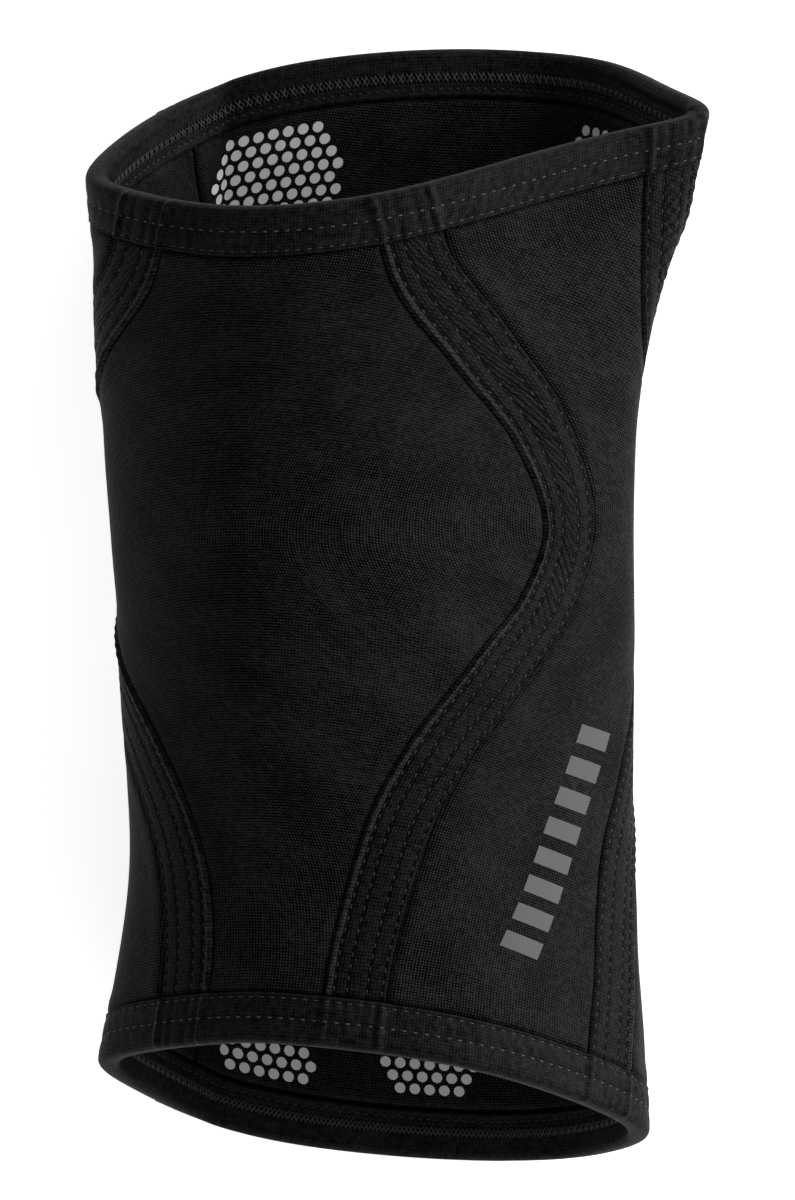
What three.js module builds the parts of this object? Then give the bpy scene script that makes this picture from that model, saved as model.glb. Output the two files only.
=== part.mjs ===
import * as THREE from 'three';

// Knee sleeve of padded neoprene, lying on its longer wall. Lengths are in millimetres.
// X runs across the sleeve, Y runs along it towards the thigh end, and Z is up from the floor.

// Sizes of the whole sleeve
const longWallLength = 281;
const thighSlant = 40;
const calfSlant = 29.5;
const thighTwist = 16;
const calfTwist = 17.5;
const thighWidth = 155.5;
const kneeWidth = 126;
const calfWidth = 138;
const thighHeight = 98;
const kneeHeight = 88;
const calfHeight = 92;
const restDepth = 8;
const restRounding = 5;
const centreLineAcross = -0.42;

// Layers of the wall
const wallThickness = 5;
const tapeThickness = 0.8;
const tapeProud = 0.5;
const bindingThickness = 1;
const bindingProud = 0.4;
const bindingInset = 0.2;
const bindingRise = 0.6;
const pieceGap = 0.3;

// Breadths of the tapes and of the hems, and the roundings at their edges
const tapeWidth = 15.3;
const hemHeight = 12.5;
const edgeSlope = 0.7;
const rimRounding = 1.6;

// How many lines cross each panel between its seams, and how many stations lie between the hems
const centrePanelLines = 12;
const sidePanelLines = 6;
const backPanelLines = 11;
const middleStations = 18;
const ringSamples = 360;
const ringSmoothing = 12;
const smoothingPasses = 3;

// Walls lower than pressedBelow lie flat on the floor, and walls higher than pressedUntil are free of it
const pressedBelow = 1;
const pressedUntil = 4;

// Shares of the way round or along over which slopes are measured, and how often a place is worked out again
const slopeAround = 0.004;
const slopeAlong = 0.01;
const placePasses = 3;

// Only points with a larger share of the height than this can be on the upper wall's centre line
const upperWallFrom = 0.7;

// How wide and high the sleeve is along its length. Each pull is the share of the step from the knee's
// size to the thigh's or the calf's, and shift is the sideways shift as a share of the knee's width.
const profileRows = [
  { along: 0.0, thighPull: 0.0, calfPull: 1.0, shift: -0.035 },
  { along: 0.1, thighPull: 0.0, calfPull: 0.57, shift: -0.022 },
  { along: 0.2, thighPull: 0.0, calfPull: 0.15, shift: -0.016 },
  { along: 0.3, thighPull: 0.02, calfPull: 0.0, shift: -0.022 },
  { along: 0.5, thighPull: 0.13, calfPull: 0.0, shift: -0.031 },
  { along: 0.7, thighPull: 0.28, calfPull: 0.0, shift: -0.04 },
  { along: 0.8, thighPull: 0.48, calfPull: 0.0, shift: -0.029 },
  { along: 0.9, thighPull: 0.77, calfPull: 0.0, shift: -0.001 },
  { along: 1.0, thighPull: 1.0, calfPull: 0.0, shift: 0.014 },
];

// Shape of a cross-section before the floor flattens it, from the left fold over the top and back below.
// across is a share of half the width, and each up is a share of the height.
const sectionRows = [
  { across: -1.0, thighUp: 0.66, kneeUp: 0.55, calfUp: 0.54 },
  { across: -0.88, thighUp: 0.76, kneeUp: 0.74, calfUp: 0.68 },
  { across: -0.7, thighUp: 0.89, kneeUp: 0.87, calfUp: 0.81 },
  { across: -0.45, thighUp: 0.98, kneeUp: 0.97, calfUp: 0.95 },
  { across: -0.1, thighUp: 0.985, kneeUp: 1.0, calfUp: 1.0 },
  { across: 0.2, thighUp: 0.9, kneeUp: 0.97, calfUp: 1.0 },
  { across: 0.5, thighUp: 0.78, kneeUp: 0.87, calfUp: 0.93 },
  { across: 0.8, thighUp: 0.69, kneeUp: 0.7, calfUp: 0.75 },
  { across: 1.0, thighUp: 0.65, kneeUp: 0.48, calfUp: 0.53 },
  { across: 0.88, thighUp: 0.47, kneeUp: 0.29, calfUp: 0.32 },
  { across: 0.68, thighUp: 0.22, kneeUp: 0.14, calfUp: 0.165 },
  { across: 0.38, thighUp: 0.08, kneeUp: 0.035, calfUp: 0.06 },
  { across: 0.0, thighUp: 0.005, kneeUp: 0.0, calfUp: 0.0 },
  { across: -0.38, thighUp: 0.02, kneeUp: 0.02, calfUp: 0.01 },
  { across: -0.66, thighUp: 0.14, kneeUp: 0.12, calfUp: 0.12 },
  { across: -0.88, thighUp: 0.36, kneeUp: 0.32, calfUp: 0.34 },
];

// Where the seams run. upper is the way from the upper wall's centre line to the seam beside it, and lower is
// the way from the lower wall's centre line, both as shares of half the way round.
const seamRows = [
  { along: 0.0, upper: 0.133, lower: 0.46 },
  { along: 0.12, upper: 0.14, lower: 0.435 },
  { along: 0.25, upper: 0.183, lower: 0.4 },
  { along: 0.35, upper: 0.255, lower: 0.34 },
  { along: 0.45, upper: 0.365, lower: 0.28 },
  { along: 0.52, upper: 0.447, lower: 0.25 },
  { along: 0.6, upper: 0.487, lower: 0.24 },
  { along: 0.7, upper: 0.435, lower: 0.275 },
  { along: 0.8, upper: 0.325, lower: 0.36 },
  { along: 0.9, upper: 0.217, lower: 0.42 },
  { along: 1.0, upper: 0.172, lower: 0.44 },
];

const smoothStep = (low, high, value) => THREE.MathUtils.smoothstep(value, low, high);

// A smooth curve through one column of a table, at a place along the sleeve
function columnAt(rows, column, along) {
  const last = rows.length - 2;
  let i = 0;
  while (i < last && rows[i + 1].along <= along) i += 1;
  const slope = (k) => {
    const before = rows[Math.max(k - 1, 0)];
    const after = rows[Math.min(k + 1, rows.length - 1)];
    return (after[column] - before[column]) / (after.along - before.along);
  };
  const step = rows[i + 1].along - rows[i].along;
  const t = (along - rows[i].along) / step;
  const bend = t * t * (3 - 2 * t);
  const value = rows[i][column] * (1 - bend) + rows[i + 1][column] * bend;
  return value + step * (slope(i) * t * (1 - t) ** 2 - slope(i + 1) * t * t * (1 - t));
}

// One cross-section as a ring of points, evenly spaced round it from the upper wall's centre line
function makeRing(along) {
  const thighPull = columnAt(profileRows, 'thighPull', along);
  const calfPull = columnAt(profileRows, 'calfPull', along);
  const pulled = (thigh, knee, calf) => knee + thighPull * (thigh - knee) + calfPull * (calf - knee);
  const halfWidth = pulled(thighWidth, kneeWidth, calfWidth) / 2;
  const height = pulled(thighHeight, kneeHeight, calfHeight);
  const shift = columnAt(profileRows, 'shift', along) * kneeWidth;
  const corners = sectionRows.map(
    (row) => new THREE.Vector3(row.across * halfWidth, 0, pulled(row.thighUp, row.kneeUp, row.calfUp) * height),
  );
  const outline = new THREE.CatmullRomCurve3(corners, true, 'centripetal');
  outline.arcLengthDivisions = ringSamples;
  let points = outline.getSpacedPoints(ringSamples).slice(0, ringSamples);
  const reach = Math.round((ringSmoothing * ringSamples) / outline.getLength() / 2);
  for (let pass = 0; pass < smoothingPasses; pass += 1) points = smoothRing(points, reach);
  const low = Math.min(...points.map((p) => p.z));
  const high = Math.max(...points.map((p) => p.z));
  const right = Math.max(...points.map((p) => p.x));
  const left = Math.min(...points.map((p) => p.x));
  const shaped = points.map((p) => {
    const across = (2 * (p.x - left)) / (right - left) - 1;
    const up = (p.z - low) / (high - low);
    const free = up * height - restDepth;
    const lifted = free > 0 ? (free * free) / (free + restRounding) : 0;
    return { x: across * halfWidth + shift, z: lifted, across, up };
  });
  return evenRing(shaped);
}

function smoothRing(points, reach) {
  return points.map((_, i) => {
    const sum = new THREE.Vector3();
    for (let k = -reach; k <= reach; k += 1) sum.add(points[(i + k + points.length) % points.length]);
    return sum.divideScalar(2 * reach + 1);
  });
}

// Starts a ring at the upper wall's centre line and spaces its points evenly
function evenRing(points) {
  const count = points.length;
  let start = 0;
  const missBy = (point) => Math.abs(point.across - centreLineAcross);
  for (let i = 0; i < count; i += 1) {
    const better = missBy(points[i]) < missBy(points[start]) || points[start].up <= upperWallFrom;
    if (points[i].up > upperWallFrom && better) start = i;
  }
  const next = points[(start + 1) % count];
  const lead = (centreLineAcross - points[start].across) / (next.across - points[start].across);
  const way = [0];
  for (let i = 0; i < count; i += 1) {
    const a = points[(start + i) % count];
    const b = points[(start + i + 1) % count];
    way.push(way[i] + Math.hypot(b.x - a.x, b.z - a.z));
  }
  const perimeter = way[count];
  const offset = lead * way[1];
  const ring = [];
  let k = 0;
  for (let i = 0; i < count; i += 1) {
    const target = (offset + (i * perimeter) / count + perimeter) % perimeter;
    if (target < way[k]) k = 0;
    while (way[k + 1] < target) k += 1;
    const t = (target - way[k]) / (way[k + 1] - way[k]);
    const a = points[(start + k) % count];
    const b = points[(start + k + 1) % count];
    const mixed = {};
    for (const key of ['x', 'z', 'across', 'up']) mixed[key] = a[key] * (1 - t) + b[key] * t;
    ring.push(mixed);
  }
  ring.perimeter = perimeter;
  return ring;
}

const rings = new Map();
const keyDigits = 5;

function ringAt(along) {
  const key = along.toFixed(keyDigits);
  if (!rings.has(key)) rings.set(key, makeRing(along));
  return rings.get(key);
}

// The outer surface at a place round the sleeve (0 to 1 from the upper centre line, to the right first)
// and a place along it (0 at the calf rim, 1 at the thigh rim)
function surfaceAt(around, along) {
  const ring = ringAt(along);
  const place = THREE.MathUtils.euclideanModulo(around, 1) * ring.length;
  const i = Math.floor(place);
  const t = place - i;
  const corner = (k) => ring[(i + k + ring.length) % ring.length];
  const value = (key) => {
    const [a, b, c, d] = [corner(-1)[key], corner(0)[key], corner(1)[key], corner(2)[key]];
    return b + 0.5 * t * (c - a + t * (2 * a - 5 * b + 4 * c - d + t * (3 * (b - c) + d - a)));
  };
  const across = value('across');
  const up = value('up');
  const thighRim = longWallLength / 2 + (thighTwist * across) / 2 - thighSlant * up;
  const calfRim = -longWallLength / 2 - (calfTwist * across) / 2 + calfSlant * up;
  const length = thighRim - calfRim;
  const point = new THREE.Vector3(value('x'), calfRim + length * along, Math.max(value('z'), 0));
  return { point, length };
}

function normalAt(around, along) {
  const onward = surfaceAt(around + slopeAround, along).point;
  const roundward = onward.sub(surfaceAt(around - slopeAround, along).point);
  const later = Math.min(along + slopeAlong, 1);
  const earlier = Math.max(along - slopeAlong, 0);
  const lengthward = surfaceAt(around, later).point.sub(surfaceAt(around, earlier).point);
  return roundward.cross(lengthward).normalize();
}

// The four seams: which wall's centre line each is measured from, and to which side. The centre panel
// starts at the upper left seam, taken one turn back.
const seams = {
  upperRight: { from: 0, side: 1, column: 'upper' },
  lowerRight: { from: 0.5, side: -1, column: 'lower' },
  lowerLeft: { from: 0.5, side: 1, column: 'lower' },
  upperLeft: { from: 1, side: -1, column: 'upper' },
  upperLeftTurnedBack: { from: 0, side: -1, column: 'upper' },
};

const middleLength = longWallLength - calfSlant;

function seamAt(seam, along) {
  const way = (place) => seam.from + (seam.side * columnAt(seamRows, seam.column, place)) / 2;
  const perimeter = ringAt(along).perimeter;
  const later = Math.min(along + slopeAlong, 1);
  const earlier = Math.max(along - slopeAlong, 0);
  const drift = ((way(later) - way(earlier)) * perimeter) / ((later - earlier) * middleLength);
  return { around: way(along), stretch: Math.hypot(1, drift) / perimeter };
}

// A line runs the whole length of the sleeve, at a distance from a seam or between two other lines
const beside = (seam, distance) => (along) => {
  const { around, stretch } = seamAt(seam, along);
  return around + distance * stretch;
};

const between = (first, second, share) => (along) => first(along) * (1 - share) + second(along) * share;

// Stations along the sleeve, as a length from the calf rim or the thigh rim or a share of what is between.
// Their order is the length along a long wall, so it rises from the calf rim to the thigh rim.
const coveredHem = hemHeight + pieceGap;
const middleFrom = coveredHem + edgeSlope;
const middlePlace = (share, wall) => middleFrom + share * (wall - 2 * middleFrom);
const fromCalf = (length) => ({ order: length, along: (wall) => length / wall });
const fromThigh = (length) => ({ order: longWallLength - length, along: (wall) => 1 - length / wall });
const middle = (share) => ({
  order: middlePlace(share, longWallLength),
  along: (wall) => middlePlace(share, wall) / wall,
});

function latticePoint(line, station, depth) {
  let along = station.along(middleLength);
  let around = line(along);
  for (let pass = 0; pass < placePasses; pass += 1) {
    along = station.along(surfaceAt(around, along).length);
    around = line(along);
  }
  const place = surfaceAt(around, along).point;
  const pressed = 1 - smoothStep(pressedBelow, pressedUntil, place.z);
  const normal = normalAt(around, along);
  return place.addScaledVector(normal, -depth(pressed));
}

// Depths of the layers below the panels' outer surface. A wall that rests on the floor is pressed flush.
const proud = (height) => (pressed) => -height * (1 - pressed);
const deeper = (depth, extra) => (pressed) => depth(pressed) + extra;
const panelFace = proud(0);
const tapeFace = proud(tapeProud);
const tapeBack = deeper(tapeFace, tapeThickness);
const panelUnderTape = deeper(tapeBack, pieceGap);
const bindingFace = proud(bindingProud);
const bindingOverTape = (pressed) => bindingFace(pressed) - bindingRise * (1 - pressed);
const panelUnderBinding = deeper(bindingFace, bindingThickness + pieceGap);
const hemTapeFace = deeper(bindingOverTape, bindingThickness + pieceGap);
const hemTapeBack = deeper(hemTapeFace, tapeThickness);
const hemPanelUnderTape = deeper(hemTapeBack, pieceGap);
const innerFace = () => wallThickness;
const bindingInnerFace = () => wallThickness + bindingInset;
const bindingInnerBack = () => wallThickness + bindingInset - bindingThickness;
const panelInnerInHem = () => wallThickness + bindingInset - bindingThickness - pieceGap;

// Neighbouring layers split their four-sided faces along the same diagonal, which this order decides
function comesBefore(first, second) {
  if (first.station.order !== second.station.order) return first.station.order < second.station.order;
  return first.depth(0) < second.depth(0);
}

// A closed body lofted from line to line. Each loop is a list of { station, depth } round its section.
function loft(lines, loopOf, closed) {
  const loops = lines.map((line) => {
    const corners = loopOf(line);
    return corners.map(({ station, depth }) => latticePoint(line.at, station, depth));
  });
  const path = loopOf(lines[0]);
  const count = path.length;
  const positions = loops.flat().flatMap((p) => [p.x, p.y, p.z]);
  const index = [];
  const corner = (i, k) => (i % loops.length) * count + (k % count);
  const quad = (a, b, c, d, flip) => {
    if (flip) index.push(a, b, d, b, c, d);
    else index.push(a, b, c, a, c, d);
  };
  const spans = closed ? loops.length : loops.length - 1;
  for (let i = 0; i < spans; i += 1) {
    for (let k = 0; k < count; k += 1) {
      const flip = comesBefore(path[(k + 1) % count], path[k]);
      quad(corner(i, k), corner(i + 1, k), corner(i + 1, k + 1), corner(i, k + 1), flip);
    }
  }
  if (!closed) {
    const last = loops.length - 1;
    for (let k = 0; k < count / 2 - 1; k += 1) {
      const back = count - 1 - k;
      quad(corner(0, k), corner(0, k + 1), corner(0, back - 1), corner(0, back), false);
      quad(corner(last, k), corner(last, back), corner(last, back - 1), corner(last, k + 1), false);
    }
  }
  const geometry = new THREE.BufferGeometry();
  geometry.setAttribute('position', new THREE.Float32BufferAttribute(positions, 3));
  geometry.setIndex(index);
  geometry.computeVertexNormals();
  return geometry;
}

// Lines across one tape, and the lines at one end of a panel, from the seam outwards
const halfTape = tapeWidth / 2;
const atSeam = (seam, distance, kind) => ({ at: beside(seam, distance), kind });
const tapeEdges = [-halfTape, -pieceGap / 2, pieceGap / 2, halfTape];
const tapeLines = (seam) => tapeEdges.map((distance) => atSeam(seam, distance, 'tape'));
const panelEndLines = (seam, side) => [
  atSeam(seam, (side * pieceGap) / 2, 'tape'),
  atSeam(seam, side * halfTape, 'tape'),
  atSeam(seam, side * (halfTape + pieceGap), 'tape'),
  atSeam(seam, side * (halfTape + pieceGap + edgeSlope), 'open'),
];

function panelLines(first, second, count) {
  const start = panelEndLines(first, 1);
  const end = panelEndLines(second, -1).reverse();
  const inner = [];
  for (let i = 1; i <= count; i += 1) {
    inner.push({ at: between(start[3].at, end[0].at, i / (count + 1)), kind: 'open' });
  }
  return [...start, ...inner, ...end];
}

// Stations of the panels and tapes: the ends under the hems, the slope at each hem's edge, and the middle
const rimEnd = bindingThickness + pieceGap;
const hemStations = (from) => [from(rimEnd), from(coveredHem)];
const middleList = [];
for (let i = 0; i <= middleStations; i += 1) middleList.push(middle(i / middleStations));

function wallLoop(outerInHem, outerInMiddle, innerInHem, innerInMiddle) {
  const calfEnd = hemStations(fromCalf);
  const thighEnd = hemStations(fromThigh).reverse();
  const outer = [
    ...calfEnd.map((station) => ({ station, depth: outerInHem })),
    ...middleList.map((station) => ({ station, depth: outerInMiddle })),
    ...thighEnd.map((station) => ({ station, depth: outerInHem })),
  ];
  const inner = [
    ...calfEnd.map((station) => ({ station, depth: innerInHem })),
    ...middleList.map((station) => ({ station, depth: innerInMiddle })),
    ...thighEnd.map((station) => ({ station, depth: innerInHem })),
  ];
  return [...outer, ...inner.reverse()];
}

function panelLoop(line) {
  const outerInHem = line.kind === 'tape' ? hemPanelUnderTape : panelUnderBinding;
  const outerInMiddle = line.kind === 'tape' ? panelUnderTape : panelFace;
  return wallLoop(outerInHem, outerInMiddle, panelInnerInHem, innerFace);
}

function tapeLoop() {
  return wallLoop(hemTapeFace, tapeFace, hemTapeBack, tapeBack);
}

// A hem binding is folded over the rim: an outer leg, a rounded end and an inner leg. The rounding is a
// chamfer with one corner between its ends.
const roundingNear = rimRounding * 0.25;
const roundingFar = rimRounding * 0.33;

function bindingLoop(line, from) {
  const face = line.kind === 'tape' ? bindingOverTape : bindingFace;
  const back = deeper(face, bindingThickness);
  const loop = [
    { station: from(hemHeight), depth: face },
    { station: from(rimRounding), depth: face },
    { station: from(roundingNear), depth: deeper(face, roundingFar) },
    { station: from(0), depth: deeper(face, rimRounding) },
    { station: from(0), depth: () => bindingInnerFace() - rimRounding },
    { station: from(roundingNear), depth: () => bindingInnerFace() - roundingFar },
    { station: from(rimRounding), depth: bindingInnerFace },
    { station: from(hemHeight), depth: bindingInnerFace },
    { station: from(hemHeight), depth: bindingInnerBack },
    { station: from(bindingThickness), depth: bindingInnerBack },
    { station: from(bindingThickness), depth: back },
    { station: from(hemHeight), depth: back },
  ];
  return from === fromThigh ? loop : loop.reverse();
}

// The panels by name, each with its lines, in order round the sleeve, and the tapes, each with its seam
const panels = {
  right_side_panel: panelLines(seams.upperRight, seams.lowerRight, sidePanelLines),
  back_panel: panelLines(seams.lowerRight, seams.lowerLeft, backPanelLines),
  left_side_panel: panelLines(seams.lowerLeft, seams.upperLeft, sidePanelLines),
  center_panel: panelLines(seams.upperLeftTurnedBack, seams.upperRight, centrePanelLines),
};
const tapes = {
  upper_right_tape: seams.upperRight,
  lower_right_tape: seams.lowerRight,
  lower_left_tape: seams.lowerLeft,
  upper_left_tape: seams.upperLeft,
};
const hemLines = Object.values(panels).flat();

const fabric = (colour, roughness) => new THREE.MeshStandardMaterial({ color: colour, roughness, metalness: 0 });
const panelFabric = fabric(0x141415, 0.85);
const tapeFabric = fabric(0x1b1b1c, 0.75);
const bindingFabric = fabric(0x18181a, 0.7);

const sleeve = new THREE.Group();
sleeve.name = 'knee_sleeve';

function addPiece(name, geometry, material) {
  const mesh = new THREE.Mesh(geometry, material);
  mesh.name = name;
  sleeve.add(mesh);
}

for (const [name, lines] of Object.entries(panels)) addPiece(name, loft(lines, panelLoop), panelFabric);
for (const [name, seam] of Object.entries(tapes)) addPiece(name, loft(tapeLines(seam), tapeLoop), tapeFabric);
addPiece('thigh_hem', loft(hemLines, (line) => bindingLoop(line, fromThigh), true), bindingFabric);
addPiece('calf_hem', loft(hemLines, (line) => bindingLoop(line, fromCalf), true), bindingFabric);

// The sleeve's own origin is below the middle of its outline, on the floor
const outline = new THREE.Box3().setFromObject(sleeve);
const middlePoint = outline.getCenter(new THREE.Vector3());
sleeve.position.set(-middlePoint.x, -middlePoint.y, -outline.min.z);

export default sleeve;
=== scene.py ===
import math

import bmesh
import bpy
import numpy as np
from mathutils import Matrix, Vector


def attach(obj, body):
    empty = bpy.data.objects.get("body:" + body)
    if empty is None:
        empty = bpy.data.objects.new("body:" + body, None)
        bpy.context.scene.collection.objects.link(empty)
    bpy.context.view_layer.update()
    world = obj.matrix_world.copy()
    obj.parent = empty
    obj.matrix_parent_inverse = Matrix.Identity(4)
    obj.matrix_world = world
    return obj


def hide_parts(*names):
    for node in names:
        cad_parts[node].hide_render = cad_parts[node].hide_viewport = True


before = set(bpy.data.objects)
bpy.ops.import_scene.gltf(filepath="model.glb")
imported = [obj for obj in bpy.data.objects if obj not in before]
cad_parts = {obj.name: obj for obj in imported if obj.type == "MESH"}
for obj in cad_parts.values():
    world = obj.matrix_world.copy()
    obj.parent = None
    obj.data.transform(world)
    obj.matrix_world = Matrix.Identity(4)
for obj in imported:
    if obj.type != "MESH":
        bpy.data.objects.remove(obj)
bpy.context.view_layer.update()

# Knee sleeve of padded neoprene, lying on its longer wall. The numbers of its surface are the part's own, in
# millimetres. X runs across the sleeve, Y along it towards the thigh end, and Z is up from the floor.
MM = 0.001
LONG_WALL = 281.0
THIGH_SLANT = 40.0
CALF_SLANT = 29.5
THIGH_TWIST = 16.0
CALF_TWIST = 17.5
WIDTHS = {"thigh": 155.5, "knee": 126.0, "calf": 138.0}
HEIGHTS = {"thigh": 98.0, "knee": 88.0, "calf": 92.0}
REST_DEPTH = 8.0
REST_ROUNDING = 5.0
CENTRE_LINE = -0.42
UPPER_WALL_FROM = 0.7
SMOOTHING = 12.0
PRESSED_BELOW = 1.0
PRESSED_UNTIL = 4.0
OUTLINE_MIDDLE = np.array([1.5406, -0.5863, 0.0])

WALL = 5.0
TAPE_WIDTH = 15.3
TAPE_PROUD = 0.5
TAPE_THICK = 0.8
HEM_HEIGHT = 12.5
BINDING_PROUD = 0.4
BINDING_RISE = 0.6
BINDING_THICK = 1.0
BINDING_INSET = 0.2
GAP = 0.3

RING_CORNER_STEPS = 24
RING_SAMPLES = 360
RING_PLACES = 720
ALONG_STEPS = 200
SLOPE_AROUND = 0.004
SLOPE_ALONG = 0.01

PROFILE_ROWS = {
    "along": (0, 0.1, 0.2, 0.3, 0.5, 0.7, 0.8, 0.9, 1),
    "thigh_pull": (0, 0, 0, 0.02, 0.13, 0.28, 0.48, 0.77, 1),
    "calf_pull": (1, 0.57, 0.15, 0, 0, 0, 0, 0, 0),
    "shift": (-0.035, -0.022, -0.016, -0.022, -0.031, -0.04, -0.029, -0.001, 0.014),
}
SECTION_ROWS = {
    "across": (-1, -0.88, -0.7, -0.45, -0.1, 0.2, 0.5, 0.8, 1, 0.88, 0.68, 0.38, 0, -0.38, -0.66, -0.88),
    "thigh": (0.66, 0.76, 0.89, 0.98, 0.985, 0.9, 0.78, 0.69, 0.65, 0.47, 0.22, 0.08, 0.005, 0.02, 0.14, 0.36),
    "knee": (0.55, 0.74, 0.87, 0.97, 1, 0.97, 0.87, 0.7, 0.48, 0.29, 0.14, 0.035, 0, 0.02, 0.12, 0.32),
    "calf": (0.54, 0.68, 0.81, 0.95, 1, 1, 0.93, 0.75, 0.53, 0.32, 0.165, 0.06, 0, 0.01, 0.12, 0.34),
}
SEAM_ROWS = {
    "along": (0, 0.12, 0.25, 0.35, 0.45, 0.52, 0.6, 0.7, 0.8, 0.9, 1),
    "upper": (0.133, 0.14, 0.183, 0.255, 0.365, 0.447, 0.487, 0.435, 0.325, 0.217, 0.172),
    "lower": (0.46, 0.435, 0.4, 0.34, 0.28, 0.25, 0.24, 0.275, 0.36, 0.42, 0.44),
}


# The sleeve's surface


def column_at(rows, column, along):
    """A smooth curve through one column of a table, at places along the sleeve."""
    x, y = np.array(rows["along"], float), np.array(rows[column], float)
    last = len(x) - 1
    place = np.arange(last + 1)
    before, after = np.maximum(place - 1, 0), np.minimum(place + 1, last)
    slope = (y[after] - y[before]) / (x[after] - x[before])
    i = np.clip(np.searchsorted(x, along, side="right") - 1, 0, last - 1)
    step = x[i + 1] - x[i]
    t = (along - x[i]) / step
    bend = t * t * (3 - 2 * t)
    value = y[i] * (1 - bend) + y[i + 1] * bend
    return value + step * (slope[i] * t * (1 - t) ** 2 - slope[i + 1] * t * t * (1 - t))


def smooth(low, high, value):
    """0 up to low, 1 from high on, and a smooth rise between."""
    t = np.clip((value - low) / (high - low), 0, 1)
    return t * t * (3 - 2 * t)


def evenly(loop, count):
    """Points spaced evenly round a closed loop."""
    closed = np.vstack([loop, loop[:1]])
    way = np.concatenate([[0], np.cumsum(np.hypot(*np.diff(closed[:, :2], axis=0).T))])
    targets = np.arange(count) * way[-1] / count
    return np.column_stack([np.interp(targets, way, column) for column in closed.T]), way[-1]


def curve_through(corners):
    """A closed centripetal curve through the corners of a section."""
    p = [np.roll(corners, shift, axis=0) for shift in (1, 0, -1, -2)]
    gap = [np.sqrt(np.linalg.norm(b - a, axis=1))[:, None] for a, b in zip(p, p[1:])]
    leave = (p[1] - p[0]) / gap[0] - (p[2] - p[0]) / (gap[0] + gap[1]) + (p[2] - p[1]) / gap[1]
    reach = (p[2] - p[1]) / gap[1] - (p[3] - p[1]) / (gap[1] + gap[2]) + (p[3] - p[2]) / gap[2]
    leave, reach = leave * gap[1], reach * gap[1]
    t = (np.arange(RING_CORNER_STEPS) / RING_CORNER_STEPS)[None, :, None]
    start, end, leave, reach = (a[:, None, :] for a in (p[1], p[2], leave, reach))
    curve = start + leave * t + (3 * (end - start) - 2 * leave - reach) * t**2
    curve = curve + (2 * (start - end) + leave + reach) * t**3
    return curve.reshape(-1, 2)


def make_ring(along):
    """One cross-section: x, z, across and up at places spaced evenly from the upper wall's centre line."""
    thigh, calf = (float(column_at(PROFILE_ROWS, c, along)) for c in ("thigh_pull", "calf_pull"))

    def pulled(sizes):
        return sizes["knee"] + thigh * (sizes["thigh"] - sizes["knee"]) + calf * (sizes["calf"] - sizes["knee"])

    half, height = pulled(WIDTHS) / 2, pulled(HEIGHTS)
    shift = float(column_at(PROFILE_ROWS, "shift", along)) * WIDTHS["knee"]
    ups = pulled({name: np.array(SECTION_ROWS[name]) for name in WIDTHS})
    corners = np.column_stack([np.array(SECTION_ROWS["across"]) * half, ups * height])
    points, length = evenly(curve_through(corners), RING_SAMPLES)
    reach = round(SMOOTHING * RING_SAMPLES / length / 2)
    for _ in range(3):
        points = sum(np.roll(points, k, axis=0) for k in range(-reach, reach + 1)) / (2 * reach + 1)
    low, high = points.min(axis=0), points.max(axis=0)
    across = 2 * (points[:, 0] - low[0]) / (high[0] - low[0]) - 1
    up = (points[:, 1] - low[1]) / (high[1] - low[1])
    free = np.maximum(up * height - REST_DEPTH, 0)
    loop = np.column_stack([across * half + shift, free**2 / (free + REST_ROUNDING), across, up])
    start = np.argmin(np.abs(across - CENTRE_LINE) + (up <= UPPER_WALL_FROM) * 2)
    loop = np.roll(loop, -start, axis=0)
    lead = (CENTRE_LINE - loop[0, 2]) / (loop[1, 2] - loop[0, 2])
    loop[0] = loop[0] + (loop[1] - loop[0]) * lead
    return evenly(loop, RING_PLACES)


made_rings = [make_ring(k / ALONG_STEPS) for k in range(ALONG_STEPS + 1)]
PERIMETERS = np.array([perimeter for _, perimeter in made_rings])
RINGS = np.array([ring for ring, _ in made_rings])
RINGS = np.concatenate([[2 * RINGS[0] - RINGS[1]], RINGS, [2 * RINGS[-1] - RINGS[-2]]])


def perimeter_at(along):
    """The length round the sleeve, in millimetres."""
    return np.interp(along, np.linspace(0, 1, ALONG_STEPS + 1), PERIMETERS)


def cubic_weights(t):
    return (
        (-t + 2 * t**2 - t**3) / 2,
        (2 - 5 * t**2 + 3 * t**3) / 2,
        (t + 4 * t**2 - 3 * t**3) / 2,
        (t**3 - t**2) / 2,
    )


def surface_at(around, along):
    """The outer surface's points, in millimetres, and the length of the wall there."""
    u = np.mod(around, 1) * RING_PLACES
    v = np.clip(along, 0, 1) * ALONG_STEPS
    i = np.floor(u).astype(int)
    j = np.minimum(np.floor(v).astype(int), ALONG_STEPS - 1)
    values = 0
    for a, wu in zip((-1, 0, 1, 2), cubic_weights(u - i)):
        for b, wv in zip((0, 1, 2, 3), cubic_weights(v - j)):
            values = values + (wu * wv)[:, None] * RINGS[j + b, (i + a) % RING_PLACES]
    x, z, across, up = values.T
    thigh_rim = LONG_WALL / 2 + THIGH_TWIST * across / 2 - THIGH_SLANT * up
    calf_rim = -LONG_WALL / 2 - CALF_TWIST * across / 2 + CALF_SLANT * up
    length = thigh_rim - calf_rim
    return np.column_stack([x, calf_rim + length * along, np.maximum(z, 0)]), length


def normal_at(around, along):
    later, earlier = np.minimum(along + SLOPE_ALONG, 1), np.maximum(along - SLOPE_ALONG, 0)
    roundward = surface_at(around + SLOPE_AROUND, along)[0] - surface_at(around - SLOPE_AROUND, along)[0]
    lengthward = surface_at(around, later)[0] - surface_at(around, earlier)[0]
    normal = np.cross(roundward, lengthward)
    return normal / np.linalg.norm(normal, axis=1)[:, None]


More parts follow.
